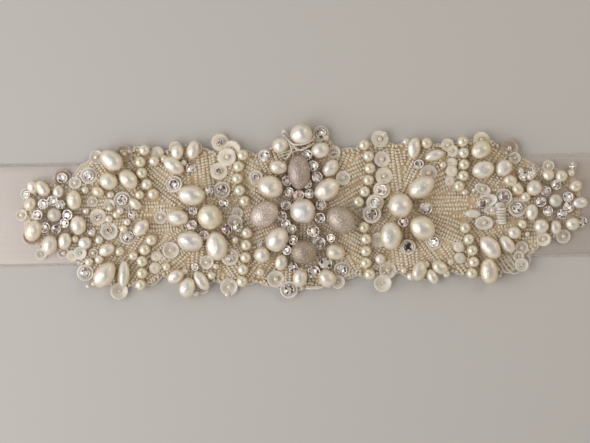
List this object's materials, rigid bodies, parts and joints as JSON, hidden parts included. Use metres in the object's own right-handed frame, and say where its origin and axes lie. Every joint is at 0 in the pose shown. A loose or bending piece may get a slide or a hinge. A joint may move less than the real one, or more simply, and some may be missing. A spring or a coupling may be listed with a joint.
{
  "type": "bridal sash",
  "caption": "Satin ribbon sash with a long beaded applique of pearls, sequins and stones, laid face up with its tails folded.",
  "frame": {"origin": "on the surface the sash lies on, under the middle of its box", "axes": "+X along the ribbon, to the right of the worn front; +Y across it, upwards as worn; +Z out of the beaded face"},
  "size_m": [0.5542, 0.065, 0.0111],
  "materials": {
    "satin_ribbon": "double faced satin, soft sheen",
    "bead_bed": "net covered with cream seed beads",
    "pearl": "pearl lustre",
    "frosted_bead": "frosted champagne",
    "string_pearl": "warm pearl lustre",
    "rosette": "pearls and clear stones"
  },
  "bodies": {
    "root": {"ribbon_front": "satin_ribbon", "ribbon_tail_right": "satin_ribbon", "ribbon_tail_left": "satin_ribbon", "applique_bed": "bead_bed", "centre_pearl": "pearl", "centre_oval_top": "frosted_bead", "centre_oval_left": "frosted_bead", "centre_oval_right": "frosted_bead", "centre_oval_bottom": "frosted_bead", "centre_pearl_upper_left": "pearl", "centre_pearl_lower_left": "pearl", "centre_pearl_upper_right": "pearl", "centre_pearl_lower_right": "pearl", "left_pearl": "pearl", "left_pearl_top": "pearl", "left_pearl_side": "pearl", "left_pearl_lower": "pearl", "left_pearl_bottom": "pearl", "right_pearl": "pearl", "right_pearl_top": "pearl", "right_pearl_lower": "pearl", "right_pearl_bottom": "pearl", "centre_pearl_spray_upper": "pearl", "centre_pearl_side": "pearl", "centre_pearl_spray_lower": "pearl", "centre_pearl_high_right": "pearl", "centre_pearl_spray_right": "pearl", "centre_pearl_crown": "pearl", "centre_pearl_high_left": "pearl", "centre_pearl_foot": "pearl", "centre_pearl_foot_right": "pearl", "left_motif_top_spray": "pearl", "left_motif_bottom_spray": "pearl", "left_upper_spray": "pearl", "left_lower_spray": "pearl", "right_motif_top_spray": "pearl", "right_motif_bottom_spray": "pearl", "right_upper_spray": "pearl", "right_lower_spray": "pearl", "string_1_upper": "string_pearl", "string_1_lower": "string_pearl", "string_2_upper": "string_pearl", "string_2_lower": "string_pearl", "string_3_upper": "string_pearl", "string_3_lower": "string_pearl", "string_4_upper": "string_pearl", "string_4_lower": "string_pearl", "left_rosette": "rosette", "right_rosette": "rosette"}
  },
  "joints": []
}
